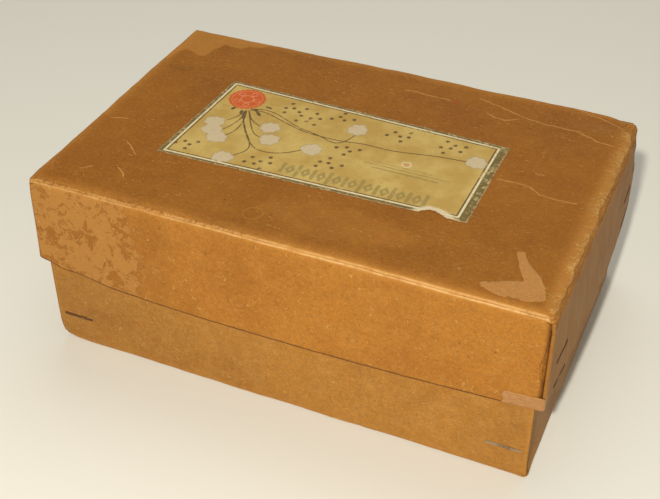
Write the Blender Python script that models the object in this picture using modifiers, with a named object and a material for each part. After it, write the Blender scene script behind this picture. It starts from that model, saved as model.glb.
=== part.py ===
"""Two-piece telescoping carton of wire-stitched pasteboard, with a pasted paper label.

Metres, +Z up. The origin is the centre of the underside, and X runs along the long walls.
The bottom tray and the lid are each one blank of board: cut, folded up on soft creases, and
stitched through their corner tabs with flat wire. The lid lifts straight off along +Z.
"""

import math

import bmesh
import bpy
from mathutils import Matrix, Vector

# The lid's outside, measured at its fold lines
LID_LENGTH = 0.250
LID_WIDTH = 0.162
LID_DEPTH = 0.0507
BOX_HEIGHT = 0.0972

# Board and the air kept between faces that touch on the real carton
BOARD = 0.0015
GAP = 0.0003
FIT = 0.0004
FOLD_RADIUS = 0.0024
FOLD_STEPS = 4

# Corner tabs, each inside the wall it is stitched to
TAB_LENGTH = 0.034
EDGE_SETBACK = 0.0005
CORNER_SLOT = 0.0008

# Slack of the lid's skirt: how far the middle of each lower edge has swollen outwards
LONG_WALL_SWELL = 0.0050
END_WALL_SWELL = 0.0028
SWELL_STEPS = 6
SKIRT_STEPS = 3

# Stitching wire
WIRE_WIDTH = 0.0016
WIRE_THICKNESS = 0.0005
CROWN_LENGTH = 0.0160
CROWN_PROUD = 0.0002
CLINCH_LENGTH = 0.0060
WIRE_BEND = 0.0005
WIRE_BEND_STEPS = 3

# Where the stitches are: distance from the middle of the wall, and heights
BASE_STITCH_X = 0.1095
BASE_STITCH_HEIGHTS = {"low": 0.0170, "high": 0.0720}
LID_STITCH_Y = 0.0620
LID_STITCH_HEIGHTS = {"low": 0.0510, "high": 0.0650}

# Pasted paper
LABEL_THICKNESS = 0.00020
LABEL_LEFT = -0.0790
LABEL_RIGHT = 0.0722
LABEL_LEFT_HALF = 0.0364
LABEL_RIGHT_HALF = 0.0328
LABEL_LEFT_SHIFT = -0.0006
LABEL_RIGHT_SHIFT = -0.0018
TAPE_THICKNESS = 0.00020
TAPE_WIDTH = 0.0068
TAPE_START_X = 0.1070
TAPE_END_Y = -0.0740
TAPE_CORNER_RADIUS = 0.0010
REMNANT_CORNERS = (
    (0.0980, -0.0448),
    (0.1008, -0.0440),
    (0.1045, -0.0500),
    (0.1110, -0.0565),
    (0.1160, -0.0640),
    (0.1180, -0.0715),
    (0.1120, -0.0745),
    (0.1000, -0.0752),
    (0.0900, -0.0728),
    (0.0898, -0.0700),
    (0.0990, -0.0658),
    (0.1060, -0.0625),
    (0.1010, -0.0530),
)

# Derived sizes
LID_HALF_LENGTH = LID_LENGTH / 2
LID_HALF_WIDTH = LID_WIDTH / 2
STITCHED_STACK = 2 * BOARD + GAP
BASE_HALF_LENGTH = LID_HALF_LENGTH - STITCHED_STACK - FIT
BASE_HALF_WIDTH = LID_HALF_WIDTH - BOARD - FIT
BASE_HEIGHT = BOX_HEIGHT - BOARD - GAP
SKIRT_REACH = LID_DEPTH - FOLD_RADIUS

# Blender's own measures
WELD = 1e-6
SHARP_ANGLE = math.radians(35)

KRAFT_LID = (0.45, 0.21, 0.06)
KRAFT_BASE = (0.48, 0.23, 0.07)
STEEL = (0.33, 0.27, 0.20)
LABEL_PAPER = (0.60, 0.49, 0.26)
TAPE_PAPER = (0.50, 0.28, 0.13)


def clear_scene():
    for thing in list(bpy.data.objects):
        bpy.data.objects.remove(thing, do_unlink=True)


def make_collection(name):
    collection = bpy.data.collections.new(name)
    bpy.context.scene.collection.children.link(collection)
    return collection


def make_material(name, colour, roughness, metallic=0.0):
    material = bpy.data.materials.new(name)
    material.use_nodes = True
    shader = material.node_tree.nodes["Principled BSDF"]
    shader.inputs["Base Color"].default_value = (*colour, 1.0)
    shader.inputs["Roughness"].default_value = roughness
    shader.inputs["Metallic"].default_value = metallic
    material.diffuse_color = (*colour, 1.0)
    return material


def add_object(name, mesh, collection, material=None):
    thing = bpy.data.objects.new(name, mesh)
    collection.objects.link(thing)
    if material:
        mesh.materials.append(material)
    return thing


def spaced(start, end, steps):
    return [start + (end - start) * i / steps for i in range(steps + 1)]


# ---------------------------------------------------------------- folded trays


def swell(across, half_span, depth, amount):
    """Outward swell of a lid wall: none at its ends and its fold, full halfway along its lower edge."""
    below_fold = max(0.0, depth - FOLD_RADIUS) / SKIRT_REACH
    return amount * (1 - (across / half_span) ** 2) * below_fold


def add_patch(bm, rows):
    """A sheet of quads through rows of points."""
    grid = [[bm.verts.new(point) for point in row] for row in rows]
    for upper, lower in zip(grid, grid[1:]):
        for i in range(len(upper) - 1):
            bm.faces.new((upper[i], upper[i + 1], lower[i + 1], lower[i]))


def tray_quarter(half_out, half_tab, depth, swell_out, swell_tab):
    """A quarter of a folded blank's outer face, from the middle of its panel to one corner.

    It is a sheet of patches, because the walls and tabs part from each other at the corner.
    u crosses the outer walls, whose cut ends show at the corners. v crosses the tabbed walls,
    which turn the corner and run on inside the outer walls. w goes down from the panel.
    """
    flat_u = half_out - FOLD_RADIUS
    flat_v = half_tab - FOLD_RADIUS
    turn_u = flat_u - BOARD - GAP
    steps = SWELL_STEPS if swell_out or swell_tab else 1
    skirt = SKIRT_STEPS if swell_out or swell_tab else 1
    us = spaced(0, turn_u, steps) + [flat_u]
    vs = spaced(0, flat_v, steps)
    ws = [FOLD_RADIUS] + spaced(FOLD_RADIUS + CORNER_SLOT, depth, skirt)
    angles = spaced(0, math.pi / 2, FOLD_STEPS)
    tab_vs = spaced(flat_v, flat_v - TAB_LENGTH, steps)

    def shell(u, v, w, towards_u=0.0, towards_v=0.0):
        out = swell(v, half_tab, w, swell_out) * towards_u
        side = swell(u, half_out, w, swell_tab) * towards_v
        return (u + out, v + side, w)

    def over_fold(angle):
        return FOLD_RADIUS * math.sin(angle), FOLD_RADIUS * (1 - math.cos(angle))

    # The flat panel
    bm = bmesh.new()
    rim = [(u, 0, 0) for u in us] + [(flat_u, v, 0) for v in vs[1:]]
    rim += [(u, flat_v, 0) for u in reversed(us[:-1])] + [(0, v, 0) for v in reversed(vs[1:-1])]
    panel = bm.faces.new([bm.verts.new(point) for point in rim])

    # The creases over the outer and the tabbed wall, and the rounded corner between them
    rows_out, rows_tab, rows_cap = [], [], []
    for angle in angles:
        reach, drop = over_fold(angle)
        rows_out.append([(flat_u + reach, v, drop) for v in vs])
        rows_tab.append([(u, flat_v + reach, drop) for u in us])
        turned = [(math.cos(turn), math.sin(turn)) for turn in angles]
        rows_cap.append([(flat_u + reach * c, flat_v + reach * s, drop) for c, s in turned])
    add_patch(bm, rows_out)
    add_patch(bm, rows_tab)
    add_patch(bm, rows_cap)

    # The outer wall, which runs on to its cut end below the slot, and the tabbed wall
    add_patch(bm, [[shell(half_out, v, w, towards_u=1) for v in vs] for w in ws])
    wall_end = (flat_v, half_tab - EDGE_SETBACK)
    add_patch(bm, [[shell(half_out, v, w, towards_u=1) for v in wall_end] for w in ws[1:]])
    add_patch(bm, [[shell(u, half_tab, w, towards_v=1) for u in us[:-1]] for w in ws])

    # The upright crease and the tab behind the outer wall
    def corner_fold(angle, w):
        reach, inset = over_fold(angle)
        return shell(turn_u + reach, half_tab - inset, w, math.sin(angle), math.cos(angle))

    add_patch(bm, [[corner_fold(angle, w) for angle in angles] for w in ws[1:]])
    tab_u = turn_u + FOLD_RADIUS
    add_patch(bm, [[shell(tab_u, v, w, towards_u=1) for v in tab_vs] for w in ws[1:]])

    bmesh.ops.remove_doubles(bm, verts=bm.verts, dist=WELD)
    bmesh.ops.recalc_face_normals(bm, faces=bm.faces)
    panel.normal_update()
    if panel.normal.z > 0:
        bmesh.ops.reverse_faces(bm, faces=bm.faces)
    return bm


def make_tray(name, bm, place, collection, material):
    """Places a quarter tray, mirrors it to a whole one and gives the board its thickness inwards."""
    bm.transform(place)
    if place.to_3x3().determinant() < 0:
        bmesh.ops.reverse_faces(bm, faces=bm.faces)
    mesh = bpy.data.meshes.new(name)
    bm.to_mesh(mesh)
    bm.free()
    mesh.shade_smooth()
    mesh.set_sharp_from_angle(angle=SHARP_ANGLE)
    tray = add_object(name, mesh, collection, material)
    mirror = tray.modifiers.new("whole_tray", "MIRROR")
    mirror.use_axis = (True, True, False)
    mirror.merge_threshold = WELD
    board = tray.modifiers.new("board", "SOLIDIFY")
    board.thickness = BOARD
    board.offset = -1.0
    board.use_even_offset = True
    return tray


def make_base_tray(collection, material):
    """The bottom tray: long walls outside at the corners, end walls turned in as tabs."""
    quarter = tray_quarter(BASE_HALF_WIDTH, BASE_HALF_LENGTH, BASE_HEIGHT, 0.0, 0.0)
    swap_uv = Matrix(((0, 1, 0, 0), (1, 0, 0, 0), (0, 0, 1, 0), (0, 0, 0, 1)))
    return make_tray("base_tray", quarter, swap_uv, collection, material)


def make_lid_tray(collection, material):
    """The lid: end walls outside at the corners, long walls turned in as tabs."""
    quarter = tray_quarter(
        LID_HALF_LENGTH, LID_HALF_WIDTH, LID_DEPTH, END_WALL_SWELL, LONG_WALL_SWELL
    )
    upside_down = Matrix.Translation((0, 0, BOX_HEIGHT)) @ Matrix.Diagonal((1, 1, -1, 1))
    return make_tray("lid_tray", quarter, upside_down, collection, material)


# ---------------------------------------------------------------- bent strips and wire


def rounded_path(corners, radius, steps):
    """The corner points with each inner corner replaced by an arc of the given radius."""
    points = [Vector(corners[0])]
    for before, corner, after in zip(corners, corners[1:], corners[2:]):
        corner = Vector(corner)
        back = (Vector(before) - corner).normalized()
        ahead = (Vector(after) - corner).normalized()
        half_angle = back.angle(ahead) / 2
        run = radius / math.tan(half_angle)
        middle = corner + (back + ahead).normalized() * radius / math.sin(half_angle)
        start, end = corner + back * run, corner + ahead * run
        sweep = (start - middle).angle_signed(end - middle)
        for turn in spaced(0, -sweep, steps):
            arm = start - middle
            cos, sin = math.cos(turn), math.sin(turn)
            points.append(middle + Vector((arm.x * cos - arm.y * sin, arm.x * sin + arm.y * cos)))
    points.append(Vector(corners[-1]))
    return points


def strip_outline(path, thickness):
    """The closed outline of a strip of even thickness along a path."""
    left, right = [], []
    for i, point in enumerate(path):
        sides = []
        for a, b in ((i - 1, i), (i, i + 1)):
            if 0 <= a and b < len(path):
                run = (path[b] - path[a]).normalized()
                sides.append(Vector((-run.y, run.x)))
        normal = sum(sides, Vector((0, 0))).normalized()
        reach = thickness / 2 / normal.dot(sides[0])
        left.append(point + normal * reach)
        right.append(point - normal * reach)
    return left + right[::-1]


def extruded_outline(name, outline, height):
    """A mesh of the flat outline, given the height evenly about its own plane."""
    curve = bpy.data.curves.new(name, "CURVE")
    curve.dimensions = "2D"
    curve.fill_mode = "BOTH"
    curve.extrude = height / 2
    spline = curve.splines.new("POLY")
    spline.points.add(len(outline) - 1)
    for slot, point in zip(spline.points, outline):
        slot.co = (point[0], point[1], 0.0, 1.0)
    spline.use_cyclic_u = True
    drawn = bpy.data.objects.new(name + "_outline", curve)
    bpy.context.scene.collection.objects.link(drawn)
    graph = bpy.context.evaluated_depsgraph_get()
    mesh = bpy.data.meshes.new_from_object(drawn.evaluated_get(graph))
    bpy.data.objects.remove(drawn, do_unlink=True)
    bpy.data.curves.remove(curve)
    bm = bmesh.new()
    bm.from_mesh(mesh)
    bmesh.ops.remove_doubles(bm, verts=bm.verts, dist=WELD)
    bmesh.ops.recalc_face_normals(bm, faces=bm.faces)
    bm.to_mesh(mesh)
    bm.free()
    mesh.name = name
    return mesh


def staple_mesh():
    """A closed stitch: crown outside the wall, legs through the stack, ends clinched inside it.

    Local X runs along the crown, Y goes in through the wall from its outer face, Z is the width.
    """
    half = CROWN_LENGTH / 2
    crown_y = WIRE_THICKNESS / 2 - CROWN_PROUD
    clinch_y = STITCHED_STACK + GAP + WIRE_THICKNESS / 2
    tip = half - CLINCH_LENGTH
    corners = (
        (-tip, clinch_y),
        (-half, clinch_y),
        (-half, crown_y),
        (half, crown_y),
        (half, clinch_y),
        (tip, clinch_y),
    )
    path = rounded_path(corners, WIRE_BEND, WIRE_BEND_STEPS)
    return extruded_outline("staple", strip_outline(path, WIRE_THICKNESS), WIRE_WIDTH)


def staple_cutter_mesh():
    """What a stitch leaves in the board: a pressed groove for its crown and two leg holes."""
    half = CROWN_LENGTH / 2
    crown_y = WIRE_THICKNESS / 2 - CROWN_PROUD
    through = STITCHED_STACK + 2 * BOARD
    corners = ((-half, through), (-half, crown_y), (half, crown_y), (half, through))
    path = [Vector(corner) for corner in corners]
    outline = strip_outline(path, WIRE_THICKNESS + 2 * GAP)
    return extruded_outline("staple_cutter", outline, WIRE_WIDTH + 2 * GAP)


def wall_frame(point, outward):
    """Local X along the wall, Y in through it, Z up its face."""
    inward = -outward.normalized()
    along = inward.cross(Vector((0, 0, 1))).normalized()
    up = along.cross(inward)
    frame = Matrix((along, inward, up)).transposed().to_4x4()
    frame.translation = point
    return frame


def base_stitch_frames():
    for side, sign_y in (("front", -1), ("back", 1)):
        for end, sign_x in (("left", -1), ("right", 1)):
            for level, height in BASE_STITCH_HEIGHTS.items():
                point = Vector((sign_x * BASE_STITCH_X, sign_y * BASE_HALF_WIDTH, height))
                yield f"base_staple_{side}_{end}_{level}", wall_frame(point, Vector((0, sign_y, 0)))


def lid_stitch_frames():
    for end, sign_x in (("left", -1), ("right", 1)):
        for side, sign_y in (("front", -1), ("back", 1)):
            for level, height in LID_STITCH_HEIGHTS.items():
                depth = BOX_HEIGHT - height
                y = sign_y * LID_STITCH_Y
                bulge = swell(y, LID_HALF_WIDTH, depth, END_WALL_SWELL)
                below_fold = (depth - FOLD_RADIUS) / SKIRT_REACH
                slope_y = 2 * END_WALL_SWELL * y / LID_HALF_WIDTH**2 * below_fold
                slope_z = bulge / (depth - FOLD_RADIUS)
                outward = Vector((sign_x, slope_y, slope_z))
                point = Vector((sign_x * (LID_HALF_LENGTH + bulge), y, height))
                yield f"lid_staple_{end}_{side}_{level}", wall_frame(point, outward)


def stitch(tray, frames, parts, cutters, material):
    """Sets each stitch in its tray and cuts its groove and leg holes with clearance."""
    wire, gap = staple_mesh(), staple_cutter_mesh()
    wire.materials.append(material)
    for name, frame in frames:
        staple = add_object(name, wire, parts)
        staple.matrix_world = frame
        cutter = add_object(name + "_cutter", gap, cutters)
        cutter.matrix_world = frame
        cutter.hide_render = True
        cutter.display_type = "WIRE"
        cut = tray.modifiers.new(name, "BOOLEAN")
        cut.operation = "DIFFERENCE"
        cut.object = cutter


# ---------------------------------------------------------------- pasted paper


def make_label(collection, material):
    """The printed label, cut a little out of square, on the lid's panel."""
    outline = (
        (LABEL_LEFT, LABEL_LEFT_SHIFT - LABEL_LEFT_HALF),
        (LABEL_RIGHT, LABEL_RIGHT_SHIFT - LABEL_RIGHT_HALF),
        (LABEL_RIGHT, LABEL_RIGHT_SHIFT + LABEL_RIGHT_HALF),
        (LABEL_LEFT, LABEL_LEFT_SHIFT + LABEL_LEFT_HALF),
    )
    mesh = extruded_outline("label", outline, LABEL_THICKNESS)
    label = add_object("label", mesh, collection, material)
    label.location = (0, 0, BOX_HEIGHT + GAP + LABEL_THICKNESS / 2)


def make_tape_remnant(collection, material):
    """A torn, V-shaped piece of gummed tape left on the panel by the right front corner."""
    mesh = extruded_outline("tape_remnant", REMNANT_CORNERS, TAPE_THICKNESS)
    remnant = add_object("tape_remnant", mesh, collection, material)
    remnant.location = (0, 0, BOX_HEIGHT + GAP + TAPE_THICKNESS / 2)


def make_corner_tape(collection, material):
    """A short strip of gummed tape round the lid's right front corner, along its lower edge."""
    height = BOX_HEIGHT - LID_DEPTH + TAPE_WIDTH / 2
    depth = BOX_HEIGHT - height
    proud = GAP + TAPE_THICKNESS / 2
    corner_x = LID_HALF_LENGTH + proud
    corner_y = -LID_HALF_WIDTH - proud
    front = [
        (x, corner_y - swell(x, LID_HALF_LENGTH, depth, LONG_WALL_SWELL))
        for x in spaced(TAPE_START_X, LID_HALF_LENGTH - FOLD_RADIUS, 2)
    ]
    side = [
        (corner_x + swell(y, LID_HALF_WIDTH, depth, END_WALL_SWELL), y)
        for y in spaced(FOLD_RADIUS - LID_HALF_WIDTH, TAPE_END_Y, 2)
    ]
    corners = front + [(corner_x, corner_y)] + side
    path = rounded_path(corners, TAPE_CORNER_RADIUS, FOLD_STEPS)
    mesh = extruded_outline("corner_tape", strip_outline(path, TAPE_THICKNESS), TAPE_WIDTH)
    add_object("corner_tape", mesh, collection, material).location = (0, 0, height)


def main():
    clear_scene()
    parts = make_collection("stitched_carton")
    cutters = make_collection("cutters")
    steel = make_material("stitching_wire", STEEL, 0.45, metallic=0.9)
    tape = make_material("gummed_tape", TAPE_PAPER, 0.75)

    base = make_base_tray(parts, make_material("base_board", KRAFT_BASE, 0.8))
    stitch(base, base_stitch_frames(), parts, cutters, steel)
    lid = make_lid_tray(parts, make_material("lid_board", KRAFT_LID, 0.75))
    stitch(lid, lid_stitch_frames(), parts, cutters, steel)
    make_label(parts, make_material("label_paper", LABEL_PAPER, 0.6))
    make_tape_remnant(parts, tape)
    make_corner_tape(parts, tape)


main()
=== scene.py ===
import itertools
import math

import bpy
import numpy as np
from mathutils import Matrix, Vector


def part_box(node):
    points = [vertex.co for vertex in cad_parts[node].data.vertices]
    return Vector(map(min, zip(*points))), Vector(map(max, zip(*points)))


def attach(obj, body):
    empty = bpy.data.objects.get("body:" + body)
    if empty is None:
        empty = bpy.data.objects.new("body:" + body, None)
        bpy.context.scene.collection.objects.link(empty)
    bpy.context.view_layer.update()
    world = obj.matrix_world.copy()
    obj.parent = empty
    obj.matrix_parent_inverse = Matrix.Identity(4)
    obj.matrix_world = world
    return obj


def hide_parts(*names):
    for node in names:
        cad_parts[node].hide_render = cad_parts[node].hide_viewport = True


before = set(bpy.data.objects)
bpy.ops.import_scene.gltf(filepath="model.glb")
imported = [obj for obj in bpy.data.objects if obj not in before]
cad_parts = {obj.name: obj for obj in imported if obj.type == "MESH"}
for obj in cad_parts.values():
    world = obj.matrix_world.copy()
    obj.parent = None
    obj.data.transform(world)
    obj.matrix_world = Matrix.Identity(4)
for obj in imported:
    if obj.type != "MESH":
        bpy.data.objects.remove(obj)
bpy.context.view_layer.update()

# ---- sizes, in millimetres unless said otherwise

MM = 0.001
BOARD = 1.5
FOLD_RADIUS = 2.4
GAP = 0.3
EDGE_SETBACK = 0.5
CORNER_SLOT = 0.8
TAB_LENGTH = 34
LONG_SWELL = 5.0
END_SWELL = 2.8
WELD = 1e-4
NEAR = 0.01
BASE_STITCH_X = 109.5
LID_STITCH_Y = 62.0
NEVER = 9.0  # a distance that no mark reaches
GOLDEN_ANGLE = 2.4


def node_box(name):
    """A CAD node's lowest and highest corners."""
    low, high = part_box(name)
    return low / MM, high / MM


LID_LOW, LID_HIGH = node_box("lid_tray")
BASE_LOW, BASE_HIGH = node_box("base_tray")
TOP = LID_HIGH.z
LID_U = LID_HIGH.x - END_SWELL
LID_V = LID_HIGH.y - LONG_SWELL
LID_DEPTH = LID_HIGH.z - LID_LOW.z
BASE_U, BASE_V = BASE_HIGH.x, BASE_HIGH.y
BASE_HEIGHT = BASE_HIGH.z - BASE_LOW.z


def shared(*points):
    return np.array(points, float)


# The label, in plan
LABEL_CORNERS = shared((-77.1, 36.0), (72.1, 30.7), (72.2, -34.2), (-80.8, -37.2))
WHITE_CORNERS = shared((-75.2, 34.2), (67.8, 28.6), (67.6, -31.8), (-78.2, -35.3))
INNER_CORNERS = shared((-74.0, 33.0), (66.6, 27.5), (66.4, -30.7), (-76.9, -34.1))
TEAR = shared((46.5, -40), (48.8, -36.6), (51.2, -33.6), (54.0, -31.6), (57.4, -32.0), (60.8, -33.0),
              (63.6, -34.9), (66.0, -36.2), (67, -40))
TEAR_CUT = np.vstack([TEAR, [(TEAR[-1][0], -45), (TEAR[0][0], -45)]])
SCUFF = shared((30.3, -0.9), (33.0, -0.2), (34.1, -2.2), (32.4, -3.7), (30.6, -3.0))
SEAL = shared((-62.8, 22.3))[0]
SEAL_RADIUS = 9.6
BLOSSOMS = shared((-68.0, -3.1), (-65.9, -10.2), (-60.4, -15.5), (-49.8, -29.6), (-40.5, 2.4), (-36.2, -7.6),
                  (-13.9, -7.4), (-0.4, 17.3), (61.4, 12.6))
STEMS = (
    shared((-58.4, 11.9), (-59.4, 6.0), (-62.6, 0.6)),
    shared((-58.2, 11.9), (-57.2, 3.8), (-59.0, -4.0), (-61.2, -8.2)),
    shared((-58.0, 11.9), (-55.0, 2.8), (-54.6, -6.7), (-57.4, -12.6)),
    shared((-58.4, 8.1), (-51.0, -3.7), (-43.9, -12.7), (-41.0, -19.7), (-46.3, -27.3)),
    shared((-58.2, 9.1), (-52.1, -3.0), (-44.4, -12.9), (-37.8, -18.3), (-29.1, -17.6), (-22.9, -14.3),
           (-18.5, -10.0)),
    shared((-56.9, 12.3), (-51.9, 5.0), (-46.0, 1.7)),
    shared((-56.9, 12.3), (-50.2, 0.8), (-45.4, -5.8), (-41.4, -7.4)),
    shared((-56.4, 13.3), (-48.8, 14.8), (-36.9, 9.8), (-24.2, 5.4), (-13.5, 4.7), (-3.2, 4.8), (7.4, 7.0),
           (19.1, 6.1), (29.7, 7.7), (42.3, 10.4), (56.5, 11.5)),
    shared((-56.4, 14.2), (-49.8, 16.9), (-40.5, 14.5), (-27.8, 7.5), (-16.6, 5.8), (-6.8, 1.3), (-1.9, 4.7),
           (0.4, 13.0)),
)
LEAVES = shared((-65.6, 10.1), (-59.5, 7.9), (-52.7, 13.0), (-49.4, 9.9), (-47.0, 18.4))
DOT_CLUSTERS = shared((-70.0, -26.4), (-37.6, 22.9), (-25.5, 17.4), (-12.0, 25.0), (21.1, 20.3), (46.2, 20.0),
                      (2.7, -1.6), (-2.4, -15.3), (-31.5, -26.6))
FRIEZE_START, FRIEZE_END = shared((-20.0, -26.6), (50.0, -26.2))
RULE_START, RULE_END = shared((13.0, -7.2), (55.0, -7.6))

# The gummed remnant on the panel and the tape at the lid's corner
REMNANT = shared((98.0, -44.8), (100.8, -44.0), (104.5, -50.0), (111.0, -56.5), (116.0, -64.0), (118.0, -71.5),
                 (112.0, -74.5), (100.0, -75.2), (90.0, -72.8), (89.8, -70.0), (99.0, -65.8), (106.0, -62.5),
                 (101.0, -53.0))
TAPE_LOW, TAPE_HIGH = node_box("corner_tape")
TAPE_START_X = 107
TAPE_END_Y = -74
TAPE_ROWS = 13

# Old paste patch on the lid's front wall, as (x, z), and the lighter scuffed field on its panel
PATCH = shared((-128, 101), (-108, 101), (-92, 99.5), (-79, 98), (-75, 95), (-71.5, 90), (-70.5, 80), (-66.5, 70),
               (-66, 58), (-68, 51), (-74, 44), (-128, 44))
PALE_FIELD = shared((-128, 41), (-121, 44), (-119.5, 53), (-116.5, 57), (-112, 56), (-108, 53), (-104, 54.5),
                    (-102.5, 62), (-100, 69.5), (-95, 68.5), (-90.8, 69), (-86.9, 72.5), (-80, 74), (-74, 83),
                    (-128, 84))
CORNER_CRACK = shared((125.2, 92), (123.5, 88.2), (123.1, 81.1), (121.7, 75.1), (120.9, 70.4), (121.7, 65.1),
                      (123.3, 60.6), (124.1, 56.9), (125.2, 54))

# Creases and scratches in the panel
CREASES = (
    shared((7.1, 62.2), (13.9, 62.9), (22.2, 62.2), (31.4, 61.8)),
    shared((44.7, 69.7), (56.3, 66.2), (69.1, 61.3), (81.5, 58.5), (97.4, 58.3), (108.0, 53.1), (117, 52)),
    shared((91.1, 79.1), (99.4, 76.4), (110.2, 72.9), (122.1, 67.6)),
    shared((52.3, 57.2), (57.1, 55.1), (62.5, 54.3), (68.0, 57.8)),
    shared((74.5, 3.8), (83.8, 4.3), (89.7, 3.3), (94.9, -0.4), (103.2, -1.9), (112.3, -0.5)),
)
SCRATCHES = (
    shared((-116.5, -19.6), (-108.7, -17.3)),
    shared((-101.9, -60.6), (-106.1, -64.2)),
    shared((-89.5, -56.2), (-84.0, -62.4)),
    shared((-97.0, -36.0), (-88.0, -44.0)),
    shared((89.1, 15.4), (92.8, 15.6)),
)

# A ring pressed into the panel
RING = (-16.6, -64.4)
RING_RADIUS = 4.4

# Colours, linear
KRAFT = (0.392, 0.150, 0.0145)
KRAFT_DARK = (0.285, 0.098, 0.0085)
KRAFT_LIGHT = (0.490, 0.215, 0.034)
KRAFT_BARE = (0.600, 0.320, 0.090)
LID_TINT = (1.0, 1.02, 1.20)
# Panel tint: partly the panel's own dirtier tone, partly painted shade
PANEL_DIRT_AND_SHADE_TINT = (0.73, 0.665, 0.36)
# Grey of painted reflection streaks on the right end walls
PAINTED_SHEEN_GREY = (0.410, 0.265, 0.085)
BASE_TINT = (1.03, 1.18, 1.90)
# Painted highlight colour for the two lines along the folds
FOLD_HIGHLIGHT_PAINT = (0.780, 0.500, 0.210)
# Dark brown for soot specks, stitch stains and painted shade along lower edges
KRAFT_SOOT_AND_SHADE = (0.075, 0.026, 0.008)
# Dark brown for grime stains and for painted shade in grooves and cracks
KRAFT_STAIN_AND_SHADE = (0.150, 0.050, 0.008)
SCUFF_TAN = (0.640, 0.360, 0.100)
TORN_BROWN = (0.300, 0.112, 0.014)
SHADE_BROWN = (0.205, 0.090, 0.014)
BOARD_CORE = (0.255, 0.105, 0.024)
PASTE = (0.430, 0.198, 0.046)
LABEL_CREAM = (0.425, 0.272, 0.060)
LABEL_PALE = (0.520, 0.372, 0.108)
INK_BROWN = (0.070, 0.036, 0.010)
INK_OLIVE = (0.120, 0.082, 0.014)
INK_RED = (0.530, 0.080, 0.007)
INK_WHITE = (0.540, 0.440, 0.280)
INK_GREY = (0.280, 0.255, 0.170)
INK_FADED = (0.215, 0.170, 0.050)
PAPER_FIBRE = (0.660, 0.560, 0.360)
TAPE_TAN = (0.395, 0.182, 0.056)
REMNANT_TAN = (0.412, 0.178, 0.032)
WIRE_STEEL = (0.430, 0.320, 0.210)
WIRE_RUST = (0.110, 0.045, 0.014)
FLOOR_CREAM = (0.745, 0.735, 0.665)
LINING_DARK = (0.400, 0.205, 0.068)
LINING_PALE = (0.470, 0.260, 0.095)

# Stains on the panel: middle, half size, strength and tint
STAINS = (
    (-110.0, 37.5, 8.0, 3.0, 0.20, KRAFT_SOOT_AND_SHADE),
    (34.6, 61.0, 3.2, 2.2, 0.55, (0.33, 0.075, 0.010)),
    (-112.0, -44.0, 12.0, 22.0, 0.30, KRAFT_DARK),
    (107.0, 65.0, 15.0, 5.5, 0.22, (0.26, 0.120, 0.030)),
    (20.0, -56.0, 40.0, 12.0, 0.16, KRAFT_LIGHT),
    (92.0, -10.0, 16.0, 30.0, 0.22, KRAFT_DARK),
)

# ---- numbers on arrays of points


def value_noise(points, size, seed):
    """Smooth noise in -1..1 with the given cell size, at an array of 3-D points."""
    cells = points / size
    corner = np.floor(cells).astype(np.int64)
    blend = cells - corner
    blend = blend * blend * (3 - 2 * blend)
    total = np.zeros(len(points))
    for step in itertools.product((0, 1), repeat=3):
        at = corner + np.array(step)
        key = (at[:, 0] * 73856093) ^ (at[:, 1] * 19349663) ^ (at[:, 2] * 83492791) ^ (seed * 2654435)
        key = (key ^ (key >> 13)) * 1274126177 & 0x7FFFFFFF
        key = (key ^ (key >> 15)) * 668265263 & 0x7FFFFFFF
        weight = np.prod(np.where(np.array(step) == 1, blend, 1 - blend), axis=1)
        total += ((key >> 8 & 0xFFFF) / 32767.5 - 1) * weight
    return total


def rough_noise(points, size, seed, octaves=3):
    return sum(value_noise(points, size / 2 ** i, seed + i) / 2 ** i for i in range(octaves))


def hump(offset, width):
    return np.exp(-((offset / width) ** 2))


def on_plane(xy):
    return np.column_stack([xy, np.zeros(len(xy))])


def smooth(low, high, value):
    t = np.clip((value - low) / (high - low), 0, 1)
    return t * t * (3 - 2 * t)


def to_segment(points, a, b):
    run = b - a
    along = np.clip((points - a) @ run / (run @ run), 0, 1)
    return np.linalg.norm(points - a - along[:, None] * run, axis=1)


def to_path(points, path):
    return np.min([to_segment(points, a, b) for a, b in zip(path, path[1:])], axis=0)


def to_polygon(points, corners):
    """Signed distance to a closed outline, negative inside it."""
    ends = np.roll(corners, -1, axis=0)
    inside = np.zeros(len(points), bool)
    for a, b in zip(corners, ends):
        crosses = (a[1] > points[:, 1]) != (b[1] > points[:, 1])
        rise = b[1] - a[1] if b[1] != a[1] else 1.0
        inside ^= crosses & (points[:, 0] < (b[0] - a[0]) * (points[:, 1] - a[1]) / rise + a[0])
    distance = np.min([to_segment(points, a, b) for a, b in zip(corners, ends)], axis=0)
    return np.where(inside, -distance, distance)


def rounded_path(path, rounds=3):
    """The path with its corners cut again and again, which turns it into a soft curve."""
    for _ in range(rounds):
        a, b = path[:-1], path[1:]
        middle = np.stack([0.75 * a + 0.25 * b, 0.25 * a + 0.75 * b], axis=1).reshape(-1, 2)
        path = np.vstack([path[:1], middle, path[-1:]])
    return path


def graded(start, end, coarse, fine, margins):
    """Stations from start to end, fine within a margin of each end that has one."""
    stations = [start]
    while stations[-1] < end - WELD:
        here = stations[-1]
        near_start = margins[0] > 0 and here - start < margins[0]
        near_end = margins[1] > 0 and end - here <= margins[1] + coarse
        stations.append(min(end, here + (fine if near_start or near_end else coarse)))
    if stations[-1] - stations[-2] < 0.4 * fine:
        del stations[-2]
    return stations


# ---- mesh making


def grid_quads(rows, cols):
    index = np.arange(rows * cols).reshape(rows, cols)
    return np.stack([index[:-1, :-1], index[:-1, 1:], index[1:, 1:], index[1:, :-1]], axis=-1).reshape(-1, 4)


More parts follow.
